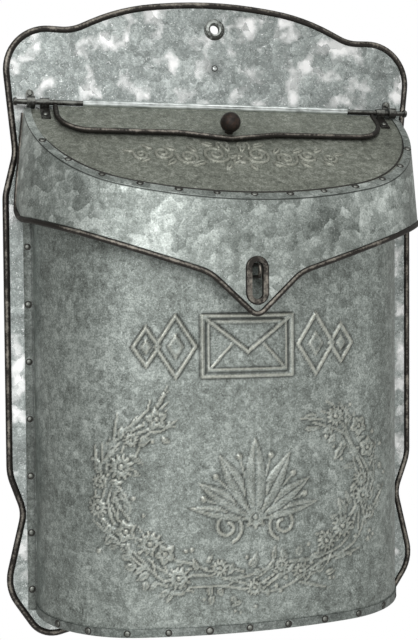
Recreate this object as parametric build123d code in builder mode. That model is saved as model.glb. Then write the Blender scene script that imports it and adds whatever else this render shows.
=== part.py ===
"""Wall mounted mailbox: shaped back plate, D-shaped letter box, hinged hood lid and a small mail flap.

Frame, in mm: origin at the middle of the hanging hole on the wall plane, +X to the right as seen
from the front, +Y into the wall, +Z up. The wired edge of the back plate rests on the wall at y = 0.
Heights written as "drop" are measured downwards from the hinge rod.
"""

import os
from math import asin, atan, cos, hypot, pi, radians, sin, tan

from build123d import *

os.makedirs("parts", exist_ok=True)

# Sheet, wire and fits.
plate_sheet = 1.0
sheet = 0.9
plate_wire_radius = 2.0
edge_wire_radius = 1.6
running_clearance = 0.05
moving_gap = 0.5
solder_gap = 0.01
apron_hem_gap = 0.2

# Back plate outline, half widths and drops from the rod.
plate_half_width = 134.8

# Hanging eyelet.
rod_drop = 51.0
hanging_radius = 3.1
eyelet_barrel_radius = 3.9
eyelet_flange_radius = 6.7
eyelet_back_radius = 5.4

# Hinge line.
rod_radius = 1.6
rod_standoff = 9.5
rod_half_length = 126.0
rod_cap_radius = 2.4
rod_cap_length = 2.0
strap_centre_x = 117.4
strap_width = 4.8
strap_sheet = 1.8
strap_height = 17.5

# Letter box body.
body_half_width = 117.0
body_depth = 73.0
body_front_radius = 320.0
body_corner_radius = 66.0
body_bottom_drop = 314.5
body_top_drop = 14.0
body_flange_width = 5.5
body_flange_top_drop = 24.0
mouth_gap = 6.0
hem_height = 6.0
pan_rim_height = 4.8
flange_rivet_pitch = 35.5
flange_rivet_count = 8
pan_rivet_pitch = 24.0
pan_rivet_count = 11
rivet_radius = 1.7
rivet_shank_radius = 0.9
rivet_height = 0.8

# Hood lid.
lid_slope = 36.1
lid_under_rod = 2.4
lid_half_width = 121.6
lid_nose = 90.4
lid_front_radius = 260.0
lid_corner_radius = 75.0
lid_side_flare = 0.10
lid_front_flare = 0.022
lid_strip_width = 4.4
lid_rear_drop = 62.0
lid_rear_slope = 0.53
lid_rear_corner = 17.0
apron_tip_drop = 129.5
apron_tip_slope = 0.94
apron_tip_radius = 5.0
apron_wing_drop = 113.0
apron_wing_slope = 0.325
apron_shoulder_radius = 26.0
seam_rivet_pitch = 21.5
seam_rivet_count = 13
letter_slot_half_width = 84.0
letter_slot_near = 9.0
letter_slot_far = 25.0
tab_centre_x = 109.2
tab_width = 5.6
tab_length = 15.0

# Padlock hasp.
hasp_drop = 109.0
hasp_slot_width = 6.6
hasp_slot_height = 21.0
hasp_lip = 0.7
hasp_rim_width = 13.4
hasp_rim_height = 27.4
hasp_rim_proud = 1.4
staple_wire_radius = 1.1
staple_bend_radius = 3.4
staple_drop = 103.6
staple_proud = 7.0

# Mail flap, distances measured down the slope from the rod.
flap_sheet = 0.8
flap_half_width = 103.0
flap_reach = 31.5
flap_tip_reach = 37.5
flap_corner = 19.0
flap_start = 2.9
flap_under_rod = 1.15
tube_half_length = 86.0
tube_wall = 0.6
knob_radius = 6.25
knob_reach = 30.5
knob_neck_radius = 2.6
knob_neck = 1.1
knob_screw_radius = 1.5
knob_screw_head_radius = 2.9
knob_screw_head = 0.8

# Derived planes.
wall_plane_y = 0.0
plate_mid_y = wall_plane_y - plate_wire_radius
plate_back_y = plate_mid_y + plate_sheet / 2
plate_front_y = plate_mid_y - plate_sheet / 2
rod_y = plate_front_y - rod_standoff
rod_z = -rod_drop
body_nose_y = plate_front_y - body_depth
body_bottom_z = rod_z - body_bottom_drop
tube_inner_radius = rod_radius + running_clearance
tube_outer_radius = tube_inner_radius + tube_wall
tab_outer_radius = tube_inner_radius + sheet
slope = radians(lid_slope)

# Lid plane: x across, y down the slope, z out of the lid; its origin is the rod axis.
slope_plane = Plane(
    origin=(0, rod_y, rod_z), x_dir=(-1, 0, 0), z_dir=(0, -sin(slope), cos(slope))
)
BIG = 1200.0


def save(builder, name):
    """Label one piece and write it out under its own name."""
    builder.part.label = name
    export_step(builder.part, f"parts/{name}.step")


def d_outline(half_width, nose_y, front_radius, corner_radius, back_y):
    """D-shaped outline seen from above: flat at the back, a front arc and two tangent corner arcs."""
    turn = asin((half_width - corner_radius) / (front_radius - corner_radius))
    front_x = front_radius * sin(turn)
    front_y = nose_y + front_radius * (1 - cos(turn))
    side_y = nose_y + front_radius - (front_radius - corner_radius) * cos(turn)
    with BuildLine(mode=Mode.PRIVATE) as outline:
        front = ThreePointArc((-front_x, front_y), (0, nose_y), (front_x, front_y))
        TangentArc(front @ 1, (half_width, side_y), tangent=front % 1)
        Polyline((half_width, side_y), (half_width, back_y), (-half_width, back_y), (-half_width, side_y))
        TangentArc(front @ 0, (-half_width, side_y), tangent=-(front % 0))
    return Face(outline.wire())


def d_station(half_width, nose_y, front_radius, corner_radius, run):
    """Point and heading in degrees on a D outline, a run of so many mm from its nose."""
    turn = asin((half_width - corner_radius) / (front_radius - corner_radius))
    side = 1 if run >= 0 else -1
    run = abs(run)
    front_run = front_radius * turn
    if run <= front_run:
        angle = run / front_radius
        x = front_radius * sin(angle)
        y = nose_y + front_radius * (1 - cos(angle))
    else:
        angle = turn + (run - front_run) / corner_radius
        x = (front_radius - corner_radius) * sin(turn) + corner_radius * sin(angle)
        y = nose_y + front_radius - (front_radius - corner_radius) * cos(turn) - corner_radius * cos(angle)
    return side * x, y, side * angle * 180 / pi


def body_outline(grown, back_y):
    """Letter box outline, grown by so many mm."""
    return d_outline(
        body_half_width + grown,
        body_nose_y - grown,
        body_front_radius + grown,
        body_corner_radius + grown,
        back_y,
    )


def lid_half_width_at(drop):
    """Half width of the hood's outside, a drop below the rod."""
    return lid_half_width + lid_side_flare * drop


def lid_nose_at(drop):
    """Front of the hood's outside, a drop below the rod."""
    return plate_front_y - lid_nose - lid_front_flare * drop


def hood_block(inset):
    """Solid block filling the hood, shrunk by an inset; it flares out downwards."""
    sections = []
    for drop in (-10.0, 140.0):
        outline = d_outline(
            lid_half_width_at(drop) - inset,
            lid_nose_at(drop) + inset,
            lid_front_radius - inset,
            lid_corner_radius - inset,
            plate_front_y,
        )
        sections.append(Plane.XY.offset(rod_z - drop) * outline)
    return loft(sections, ruled=True, mode=Mode.PRIVATE)


def below_slope(depth):
    """Everything under a plane parallel to the lid's top, a depth below the rod."""
    with BuildSketch(slope_plane.offset(-depth)) as cut:
        Rectangle(BIG, BIG)
    extrude(cut.sketch, amount=-BIG, mode=Mode.INTERSECT)


def above_slope(depth):
    """Everything over a plane parallel to the lid's top, a depth below the rod."""
    with BuildSketch(slope_plane.offset(-depth)) as cut:
        Rectangle(BIG, BIG)
    extrude(cut.sketch, amount=BIG, mode=Mode.INTERSECT)


def seam_locations(depth):
    """Rivet places in the middle of the hood's top strip, on a plane parallel to the lid's top."""
    places = []
    for index in range(seam_rivet_count):
        run = (index - (seam_rivet_count - 1) / 2) * seam_rivet_pitch
        inset = lid_strip_width / 2
        x, y, _ = d_station(
            lid_half_width_at(30) - inset,
            lid_nose_at(61) + inset,
            lid_front_radius - inset,
            lid_corner_radius - inset,
            run,
        )
        reach = (rod_y - y) / cos(slope)
        places.append(slope_plane.offset(-depth) * Location((-x, reach, 0)))
    return places



def rivet(places, shank_length):
    """Low domed rivets with their shanks, one solid at each place."""
    profile = [
        (0, -shank_length), (rivet_shank_radius, -shank_length), (rivet_shank_radius, 0),
        (rivet_radius, 0), (rivet_radius, rivet_height * 0.3), (rivet_radius * 0.6, rivet_height),
        (0, rivet_height),
    ]
    with BuildPart(mode=Mode.PRIVATE) as one:
        with BuildSketch(Plane.XZ):
            Polygon(*profile, align=None)
        revolve(axis=Axis.Z)
    for place in places:
        with Locations(place):
            add(one.part)


def shank_holes(places, shank_length):
    """Holes for rivet shanks, straight down from each place."""
    for place in places:
        with Locations(place):
            Cylinder(
                rivet_shank_radius, shank_length * 2 + 2, mode=Mode.SUBTRACT
            )


# Back plate: crowned top with two shoulders, straight sides, waisted foot.
def rounded_outline(corners):
    """Flat outline from corners given as (across, up, corner radius)."""
    with BuildSketch(mode=Mode.PRIVATE) as outline:
        Polygon(*[(x, z) for x, z, _ in corners], align=None)
        for x, z, radius in corners:
            if radius:
                fillet(outline.vertices().sort_by_distance((x, z, 0))[0], radius=radius)
    return outline.sketch


side_x = plate_half_width - plate_wire_radius
plate_right = [
    (0, 68.2, 280), (60, 60.8, 130), (91, 46.2, 28), (134.2, 47.4, 26), (126.4, -30, 25),
    (side_x, -56, 25), (side_x, -228, 30), (124.2, -252, 20), (135.4, -299, 26),
    (114, -331.5, 16), (78, -323, 30), (0, -316, 0),
]
plate_left = [(-x, z, radius) for x, z, radius in plate_right[-2:0:-1]]
plate_outline = rounded_outline([(x, rod_z + z, radius) for x, z, radius in plate_right + plate_left])

flange_outer_x = body_half_width + body_flange_width
flange_rivet_places = [
    Plane.XZ.offset(-plate_front_y + sheet)
    * Location((side * (flange_outer_x - 2.5), rod_z - 52 - index * flange_rivet_pitch, 0))
    for side in (-1, 1)
    for index in range(flange_rivet_count)
]
strap_rivet_places = [
    Plane.XZ.offset(-plate_front_y + strap_sheet)
    * Location((side * strap_centre_x, rod_z + end * (strap_height / 2 - 2.3), 0))
    for side in (-1, 1)
    for end in (-1, 1)
]

with BuildPart() as back_plate_edge_wire:
    for edge in (Plane.XZ.offset(-plate_mid_y) * plate_outline).edges():
        with BuildSketch(Plane(origin=edge @ 0, z_dir=edge % 0)):
            Circle(plate_wire_radius)
        sweep(path=edge)
save(back_plate_edge_wire, "back_plate_edge_wire")

with BuildPart() as back_plate:
    with BuildSketch(Plane.XZ.offset(-plate_back_y)):
        add(plate_outline)
        offset(amount=-plate_wire_radius - solder_gap, mode=Mode.REPLACE)
        Circle(eyelet_barrel_radius, mode=Mode.SUBTRACT)
    extrude(amount=plate_sheet)
    shank_holes(flange_rivet_places, sheet + plate_sheet)
    shank_holes(strap_rivet_places, strap_sheet + plate_sheet)
save(back_plate, "back_plate")

with BuildPart() as hanging_eyelet:
    with BuildSketch(Plane.XY):
        with BuildLine():
            Polyline(
                (hanging_radius, 0), (hanging_radius, plate_front_y - 1.3),
                (hanging_radius + 1.0, plate_front_y - 1.7), (eyelet_flange_radius - 1.2, plate_front_y - 1.2),
                (eyelet_flange_radius, plate_front_y - 0.4), (eyelet_flange_radius, plate_front_y),
                (eyelet_barrel_radius, plate_front_y), (eyelet_barrel_radius, plate_back_y),
                (eyelet_back_radius, plate_back_y), (eyelet_back_radius, -0.4),
                (eyelet_back_radius - 0.4, 0), close=True,
            )
        make_face()
    revolve(axis=Axis.Y)
save(hanging_eyelet, "hanging_eyelet")

# Letter box body: the wrap, its hemmed mouth and the riveted bottom pan.
with BuildPart() as body_wrap:
    with BuildSketch(Plane.XY.offset(body_bottom_z + sheet)):
        add(body_outline(0, plate_front_y))
        add(body_outline(-sheet, plate_front_y), mode=Mode.SUBTRACT)
    extrude(amount=body_bottom_drop - sheet - body_top_drop)
    below_slope(lid_under_rod + sheet * 2 + mouth_gap)
    with BuildSketch(Plane.XY.offset(body_bottom_z + sheet)):
        for side in (-1, 1):
            with Locations((side * (body_half_width + body_flange_width / 2), plate_front_y - sheet / 2)):
                Rectangle(body_flange_width, sheet)
    extrude(amount=body_bottom_drop - sheet - body_flange_top_drop)
    shank_holes(flange_rivet_places, sheet + plate_sheet)
    pan_rivet_places = []
    for index in range(pan_rivet_count):
        run = (index - (pan_rivet_count - 1) / 2) * pan_rivet_pitch
        x, y, angle = d_station(
            body_half_width + sheet, body_nose_y - sheet, body_front_radius + sheet,
            body_corner_radius + sheet, run,
        )
        outward = (sin(radians(angle)), -cos(radians(angle)), 0)
        place = Plane(origin=(x, y, body_bottom_z + pan_rim_height / 2), z_dir=outward)
        pan_rivet_places.append(place.location)
    staple_leg_z = [rod_z - staple_drop + side * staple_bend_radius for side in (-1, 1)]
    with BuildSketch(Plane.XZ.offset(-body_nose_y - 2)):
        for leg_z in staple_leg_z:
            with Locations((0, leg_z)):
                Circle(staple_wire_radius)
    extrude(amount=8, both=True, mode=Mode.SUBTRACT)
    shank_holes(pan_rivet_places, sheet * 2)
save(body_wrap, "body_wrap")

with BuildPart() as mouth_hem:
    with BuildSketch(Plane.XY.offset(rod_z - 120)):
        add(body_outline(sheet, plate_front_y - sheet))
        add(body_outline(0, plate_front_y - sheet), mode=Mode.SUBTRACT)
    extrude(amount=120 - body_flange_top_drop)
    below_slope(lid_under_rod + sheet * 2 + mouth_gap)
    above_slope(lid_under_rod + sheet * 2 + mouth_gap + hem_height)
save(mouth_hem, "mouth_hem")

with BuildPart() as bottom_pan:
    with BuildSketch(Plane.XY.offset(body_bottom_z)):
        add(body_outline(sheet, plate_front_y))
    extrude(amount=sheet)
    with BuildSketch(Plane.XY.offset(body_bottom_z + sheet)):
        add(body_outline(sheet, plate_front_y - sheet))
        add(body_outline(0, plate_front_y - sheet), mode=Mode.SUBTRACT)
    extrude(amount=pan_rim_height - sheet)
    shank_holes(pan_rivet_places, sheet * 2)
save(bottom_pan, "bottom_pan")

with BuildPart() as bottom_rivets:
    rivet(pan_rivet_places, sheet * 2)
save(bottom_rivets, "bottom_rivets")

with BuildPart() as wrap_flange_rivets:
    rivet(flange_rivet_places, sheet + plate_sheet)
save(wrap_flange_rivets, "wrap_flange_rivets")

# Hinge line: one long rod carried by two bent straps.
def hinge_strap(side):
    """Strap bent round the rod, with a foot above and a foot below it."""
    outer = rod_radius + strap_sheet
    inner = rod_radius
    foot_y = plate_front_y - strap_sheet
    with BuildSketch(Plane.YZ.offset(side * strap_centre_x - strap_width / 2)) as profile:
        with Locations((rod_y, rod_z)):
            Circle(outer)
        with Locations(((rod_y + plate_front_y) / 2, rod_z)):
            Rectangle(rod_standoff, outer * 2)
        with Locations(((plate_front_y + foot_y) / 2, rod_z)):
            Rectangle(strap_sheet, strap_height)
        with Locations((rod_y, rod_z)):
            Circle(inner, mode=Mode.SUBTRACT)
    return extrude(profile.sketch, amount=strap_width, mode=Mode.PRIVATE)


for side, side_name in ((-1, "left"), (1, "right")):
    with BuildPart() as strap:
        add(hinge_strap(side))
        corners = strap.edges().filter_by(Axis.Y)
        feet = corners.group_by(Axis.Z)[0] + corners.group_by(Axis.Z)[-1]
        fillet(feet, radius=strap_width / 2 - 0.05)
        shank_holes(strap_rivet_places, strap_sheet)
    save(strap, f"hinge_strap_{side_name}")

with BuildPart() as strap_rivets:
    rivet(strap_rivet_places, strap_sheet + plate_sheet)
save(strap_rivets, "strap_rivets")

with BuildPart() as hinge_rod:
    with BuildSketch(Plane.YZ.offset(-rod_half_length)):
        with Locations((rod_y, rod_z)):
            Circle(rod_radius)
    extrude(amount=rod_half_length * 2)
save(hinge_rod, "hinge_rod")

for side, side_name in ((-1, "left"), (1, "right")):
    with BuildPart() as rod_end_cap:
        with BuildSketch(Plane(origin=(side * rod_half_length, rod_y, rod_z), z_dir=(side, 0, 0))):
            Circle(rod_cap_radius)
        extrude(amount=rod_cap_length)
        fillet(rod_end_cap.edges().sort_by(Axis.X)[-1 if side > 0 else 0], radius=0.9)
    save(rod_end_cap, f"rod_end_cap_{side_name}")

# Hasp staple: a wire loop standing out of the body's front, backed by a plate inside.
hasp_z = rod_z - hasp_drop
staple_z = rod_z - staple_drop
hood_front_y = lid_nose_at(hasp_drop)
staple_bend_y = hood_front_y - staple_proud + staple_wire_radius + staple_bend_radius
staple_back_y = body_nose_y + sheet * 2

with BuildPart() as hasp_staple:
    with BuildLine(Plane.YZ) as staple_line:
        Line((staple_back_y, staple_z + staple_bend_radius), (staple_bend_y, staple_z + staple_bend_radius))
        ThreePointArc(
            (staple_bend_y, staple_z + staple_bend_radius),
            (staple_bend_y - staple_bend_radius, staple_z),
            (staple_bend_y, staple_z - staple_bend_radius),
        )
        Line((staple_bend_y, staple_z - staple_bend_radius), (staple_back_y, staple_z - staple_bend_radius))
    with BuildSketch(Plane(origin=(0, staple_back_y, staple_z + staple_bend_radius), z_dir=(0, -1, 0))):
        Circle(staple_wire_radius)
    sweep(path=staple_line.wire())
save(hasp_staple, "hasp_staple")

with BuildPart() as staple_backing:
    with BuildSketch(Plane.XZ.offset(-staple_back_y)):
        with Locations((0, staple_z)):
            SlotOverall(20, 8, rotation=90)
            for leg_side in (-1, 1):
                with Locations((0, leg_side * staple_bend_radius)):
                    Circle(staple_wire_radius, mode=Mode.SUBTRACT)
    extrude(amount=sheet * 3)
    with BuildSketch(Plane.XY.offset(rod_z - 200)):
        add(body_outline(-sheet, plate_front_y))
    extrude(amount=200, mode=Mode.INTERSECT)
save(staple_backing, "staple_backing")


# Hood lid: apron with its riveted top strip, slotted top panel, rear knuckles.
strip_top = lid_under_rod
panel_top = strip_top + sheet
panel_bottom = panel_top + sheet
hinge_clear_radius = rod_radius + strap_sheet + moving_gap
tip_angle = atan(apron_tip_slope)
wing_angle = atan(apron_wing_slope)
seam_rivet_places = seam_locations(strip_top)
tab_rivet_places = [
    slope_plane.offset(-strip_top) * Location((side * tab_centre_x, tab_length - 4.5, 0))
    for side in (-1, 1)
]


def side_plane(x):
    """Plane facing left at a given x, with its first axis down the slope and its second out of the lid."""
    return Plane(origin=(x, rod_y, rod_z), x_dir=slope_plane.y_dir, z_dir=(-1, 0, 0))


def apron_corners(raised):
    """Tip and knee of the apron's lower edge seen from the front, raised square to itself."""
    tip_z = rod_z - apron_tip_drop + raised / cos(tip_angle)
    wing_z = rod_z - apron_wing_drop + raised / cos(wing_angle)
    knee_x = (wing_z - tip_z) / (apron_tip_slope - apron_wing_slope)
    return tip_z, knee_x, tip_z + apron_tip_slope * knee_x


def apron_edge_z(x):
    """Height of the apron's lower edge at a distance from the middle."""
    x = abs(x)
    tip_z, knee_x, knee_z = apron_corners(0)
    if x <= apron_tip_radius * sin(tip_angle):
        return tip_z + apron_tip_radius / cos(tip_angle) - (apron_tip_radius**2 - x**2) ** 0.5
    reach = apron_shoulder_radius * tan((tip_angle - wing_angle) / 2)
    start_x = knee_x - reach * cos(tip_angle)
    end_x = knee_x + reach * cos(wing_angle)
    if x <= start_x:
        return tip_z + apron_tip_slope * x
    if x >= end_x:
        return knee_z + apron_wing_slope * (x - knee_x)
    centre_x = start_x + apron_shoulder_radius * sin(tip_angle)
    centre_z = tip_z + apron_tip_slope * start_x - apron_shoulder_radius * cos(tip_angle)
    return centre_z + (apron_shoulder_radius**2 - (x - centre_x) ** 2) ** 0.5


def apron_front_cutter(raised):
    """Prism over the apron's lower edge, as seen from the front."""
    tip_z, knee_x, knee_z = apron_corners(raised)
    end_x = lid_half_width * 1.4
    end_z = knee_z + apron_wing_slope * (end_x - knee_x)
    with BuildSketch(Plane.XZ) as face:
        with BuildLine():
            Polyline((end_x, end_z), (end_x, 0), (-end_x, 0), (-end_x, end_z))
            FilletPolyline((-end_x, end_z), (-knee_x, knee_z), (0, tip_z), radius=apron_shoulder_radius + raised)
            FilletPolyline((0, tip_z), (knee_x, knee_z), (end_x, end_z), radius=apron_shoulder_radius + raised)
        make_face()
        fillet(face.vertices().sort_by(Axis.Y)[0], radius=apron_tip_radius - raised)
    return extrude(face.sketch, amount=lid_nose * 1.4, mode=Mode.PRIVATE)


def apron_side_cutter(raised):
    """Prism in front of the apron's rear edge and over its rear corners, as seen from the side."""
    rear_y = rod_y - raised
    corner_z = rod_z - lid_rear_drop + raised * hypot(1, lid_rear_slope) - lid_rear_slope * raised
    with BuildSketch(Plane.YZ.offset(-BIG / 2)) as face:
        with BuildLine():
            FilletPolyline(
                (rear_y, 0), (rear_y, corner_z), (rear_y - 45, corner_z - lid_rear_slope * 45),
                radius=lid_rear_corner - raised,
            )
            Polyline(
                (rear_y - 45, corner_z - lid_rear_slope * 45), (rear_y - 45, rod_z - 140),
                (-120, rod_z - 140), (-120, 0), (rear_y, 0),
            )
        make_face()
    return extrude(face.sketch, amount=BIG, mode=Mode.PRIVATE)


def apron_edge_points():
    """Right half of the apron's edge on the middle of its sheet, from the tip to the rear top corner."""
    points = []
    run = 0.0
    while True:
        z = apron_edge_z(run)
        for _ in range(4):
            drop = rod_z - z
            x, y, _ = d_station(
                lid_half_width_at(drop) - sheet / 2, lid_nose_at(drop) + sheet / 2,
                lid_front_radius - sheet / 2, lid_corner_radius - sheet / 2, run,
            )
            z = apron_edge_z(x)
            if rod_y - y < 45:
                z = max(z, rod_z - lid_rear_drop - lid_rear_slope * (rod_y - y))
        if y > rod_y - lid_rear_corner * 0.9:
            break
        points.append((x, y, z))
        run += 1.8 if run < 9 else 3.0 if run < 45 else 8.0
    bend = atan(1 / lid_rear_slope)
    reach = lid_rear_corner * tan(bend / 2)
    centre_y = rod_y - lid_rear_corner
    centre_z = rod_z - lid_rear_drop + reach
    for step in range(1, 7):
        angle = bend * step / 6
        y = centre_y + lid_rear_corner * cos(bend - angle)
        z = centre_z - lid_rear_corner * sin(bend - angle)
        points.append((lid_half_width_at(rod_z - z) - sheet / 2, y, z))
    for drop in (32.0, 18.0, 7.0):
        points.append((lid_half_width_at(drop) - sheet / 2, rod_y, rod_z - drop))
    return points


with BuildPart() as lid_fascia:
    raised = edge_wire_radius + apron_hem_gap
    add(hood_block(0))
    add(hood_block(sheet), mode=Mode.SUBTRACT)
    add(apron_front_cutter(raised), mode=Mode.INTERSECT)
    add(apron_side_cutter(raised), mode=Mode.INTERSECT)
    below_slope(strip_top)
    with BuildPart(mode=Mode.PRIVATE) as strip:
        add(hood_block(sheet * 0.5))
        add(hood_block(lid_strip_width), mode=Mode.SUBTRACT)
        below_slope(strip_top)
        above_slope(panel_top)
    add(strip.part)
    with BuildSketch(Plane.YZ.offset(-BIG / 2)) as clearance:
        with Locations((rod_y, rod_z)):
            Circle(hinge_clear_radius)
        with Locations((rod_y + 10, rod_z)):
            Rectangle(20, 30)
    extrude(clearance.sketch, amount=BIG, mode=Mode.SUBTRACT)
    with BuildSketch(Plane.XZ.offset(-hood_front_y - 6)) as slot_cut:
        with Locations((0, hasp_z)):
            SlotOverall(hasp_slot_height + hasp_lip * 2, hasp_slot_width + hasp_lip * 2, rotation=90)
    extrude(slot_cut.sketch, amount=12, mode=Mode.SUBTRACT)
    shank_holes(seam_rivet_places, sheet * 2)
save(lid_fascia, "lid_fascia")

with BuildPart() as lid_top_panel:
    add(hood_block(sheet))
    below_slope(panel_top)
    above_slope(panel_bottom)
    extrude(clearance.sketch, amount=BIG, mode=Mode.SUBTRACT)
    with BuildSketch(slope_plane.offset(-panel_bottom - 1)) as letter_slot:
        with Locations((0, (letter_slot_near + letter_slot_far) / 2)):
            RectangleRounded(letter_slot_half_width * 2, letter_slot_far - letter_slot_near, 3)
    extrude(letter_slot.sketch, amount=4, mode=Mode.SUBTRACT)
    shank_holes(seam_rivet_places, sheet * 2)
    shank_holes(tab_rivet_places, sheet * 2)
save(lid_top_panel, "lid_top_panel")

with BuildPart() as lid_edge_wire:
    wire_points = apron_edge_points()[::-1]
    with BuildLine() as apron_line:
        Spline(wire_points, tangents=[Vector(*wire_points[1]) - Vector(*wire_points[0]), (-1, 0, 0)])
    with BuildSketch(Plane(origin=apron_line.wire() @ 0, z_dir=apron_line.wire() % 0)):
        Circle(edge_wire_radius)
    sweep(path=apron_line.wire())
    mirror(about=Plane.YZ)
save(lid_edge_wire, "lid_edge_wire")

with BuildPart() as lid_seam_rivets:
    rivet(seam_rivet_places, sheet * 2)
save(lid_seam_rivets, "lid_seam_rivets")

for side, side_name in ((-1, "left"), (1, "right")):
    with BuildPart() as lid_hinge_tab:
        with BuildSketch(side_plane(side * tab_centre_x + tab_width / 2)):
            Circle(tab_outer_radius)
            with Locations((tab_length / 2, -(strip_top + panel_top) / 2)):
                Rectangle(tab_length, sheet)
            with Locations((tab_outer_radius / 2, -panel_top / 2)):
                Rectangle(tab_outer_radius, panel_top)
            Circle(tube_inner_radius, mode=Mode.SUBTRACT)
        extrude(amount=tab_width)
        shank_holes(tab_rivet_places, sheet)
    save(lid_hinge_tab, f"lid_hinge_tab_{side_name}")

with BuildPart() as lid_tab_rivets:
    rivet(tab_rivet_places, sheet * 2)
save(lid_tab_rivets, "lid_tab_rivets")

with BuildPart() as hasp_slot_rim:
    with BuildSketch(Plane.XZ.offset(-hood_front_y + hasp_rim_proud)):
        with Locations((0, hasp_z)):
            SlotOverall(hasp_rim_height, hasp_rim_width, rotation=90)
    extrude(amount=-hasp_rim_proud - 1.5)
    fillet(hasp_slot_rim.faces().sort_by(Axis.Y)[0].edges(), radius=0.9)
    add(hood_block(0), mode=Mode.SUBTRACT)
    with BuildSketch(Plane.XZ.offset(-hood_front_y + 0.4)):
        with Locations((0, hasp_z)):
            SlotOverall(hasp_slot_height + hasp_lip * 2, hasp_slot_width + hasp_lip * 2, rotation=90)
    extrude(amount=-2.2)
    with BuildSketch(Plane.XZ.offset(-hood_front_y - 6)):
        with Locations((0, hasp_z)):
            SlotOverall(hasp_slot_height, hasp_slot_width, rotation=90)
    extrude(amount=12, mode=Mode.SUBTRACT)
save(hasp_slot_rim, "hasp_slot_rim")


# Mail flap over the letter slot, with its own knuckle tube and a ball knob.
flap_right = [
    (0, flap_tip_reach + 0.4, 14), (30, flap_reach, 40), (flap_half_width, flap_reach, flap_corner),
    (flap_half_width, flap_start - 12, 0),
]
flap_left = [(-x, reach, radius) for x, reach, radius in flap_right[:0:-1]]
flap_outline = rounded_outline(flap_right + flap_left)

with BuildPart() as mail_flap:
    with BuildSketch(slope_plane.offset(-flap_under_rod - flap_sheet / 2)):
        add(flap_outline)
        offset(amount=-edge_wire_radius - solder_gap, mode=Mode.REPLACE)
        with Locations((0, flap_start - 50)):
            Rectangle(flap_half_width * 2, 100, mode=Mode.SUBTRACT)
        with Locations((0, flap_start / 2)):
            Rectangle(tube_half_length * 2, flap_start + 0.2)
        with Locations((0, knob_reach)):
            Circle(knob_screw_radius, mode=Mode.SUBTRACT)
    extrude(amount=flap_sheet)
    with BuildSketch(Plane.YZ.offset(-flap_half_width)):
        with Locations((rod_y, rod_z)):
            Circle(tube_outer_radius)
    extrude(amount=flap_half_width * 2, mode=Mode.SUBTRACT)
save(mail_flap, "mail_flap")

with BuildPart() as mail_flap_edge_wire:
    rim = (slope_plane.offset(-flap_under_rod) * flap_outline).edges()
    for edge in rim.sort_by(Axis.Y)[:-1]:
        with BuildSketch(Plane(origin=edge @ 0, z_dir=edge % 0)):
            Circle(edge_wire_radius)
        sweep(path=edge)
    with BuildSketch(slope_plane.offset(-30)):
        with Locations((0, flap_start - 50)):
            Rectangle(flap_half_width * 3, 100)
    extrude(amount=60, mode=Mode.SUBTRACT)
save(mail_flap_edge_wire, "mail_flap_edge_wire")

with BuildPart() as flap_hinge_tube:
    with BuildSketch(Plane.YZ.offset(-tube_half_length)):
        with Locations((rod_y, rod_z)):
            Circle(tube_outer_radius)
            Circle(tube_inner_radius, mode=Mode.SUBTRACT)
    extrude(amount=tube_half_length * 2)
save(flap_hinge_tube, "flap_hinge_tube")

flap_top = flap_sheet / 2 - flap_under_rod
flap_underside = -flap_sheet / 2 - flap_under_rod
knob_centre = flap_top + knob_neck + (knob_radius**2 - knob_neck_radius**2) ** 0.5
with BuildPart() as flap_knob:
    with BuildSketch(side_plane(0)):
        with BuildLine():
            Polyline(
                (knob_reach, knob_centre + knob_radius), (knob_reach, flap_top),
                (knob_reach + knob_neck_radius, flap_top), (knob_reach + knob_neck_radius, flap_top + knob_neck),
            )
            ThreePointArc(
                (knob_reach + knob_neck_radius, flap_top + knob_neck),
                (knob_reach + knob_radius, knob_centre), (knob_reach, knob_centre + knob_radius),
            )
        make_face()
    axis_foot = slope_plane.from_local_coords((0, knob_reach, 0))
    revolve(axis=Axis(axis_foot, slope_plane.z_dir))
    with BuildSketch(slope_plane.offset(flap_top)):
        with Locations((0, knob_reach)):
            Circle(knob_screw_radius)
    extrude(amount=knob_radius, mode=Mode.SUBTRACT)
save(flap_knob, "flap_knob")

with BuildPart() as knob_screw:
    with BuildSketch(slope_plane.offset(flap_underside - knob_screw_head)):
        with Locations((0, knob_reach)):
            Circle(knob_screw_head_radius)
    extrude(amount=knob_screw_head)
    with BuildSketch(slope_plane.offset(flap_underside)):
        with Locations((0, knob_reach)):
            Circle(knob_screw_radius)
    extrude(amount=flap_sheet + knob_radius)
save(knob_screw, "knob_screw")
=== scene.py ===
"""Wall mounted mailbox of aged galvanised sheet, laid out as an add-on and run as a script.

Metres, +Z up, front facing -Y; the origin is the hanging hole on the wall plane.
"""

from math import asin, cos, hypot, pi, radians, sin

import bpy
import numpy as np
from mathutils import Matrix, Vector


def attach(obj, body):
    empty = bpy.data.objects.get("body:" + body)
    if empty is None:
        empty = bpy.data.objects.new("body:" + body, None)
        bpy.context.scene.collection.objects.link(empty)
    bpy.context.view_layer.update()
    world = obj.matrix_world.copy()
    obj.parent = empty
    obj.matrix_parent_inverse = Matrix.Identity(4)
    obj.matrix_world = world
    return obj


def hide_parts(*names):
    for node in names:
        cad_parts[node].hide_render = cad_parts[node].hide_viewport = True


bl_info = {
    "name": "Wall Mailbox",
    "version": (1, 0, 0),
    "blender": (4, 5, 0),
    "location": "View3D > Sidebar > Mailbox",
    "description": "Builds the visual model of a galvanised wall mailbox round its CAD frame",
    "category": "Add Mesh",
}

MM = 0.001
SHEET = 0.9 * MM

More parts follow.
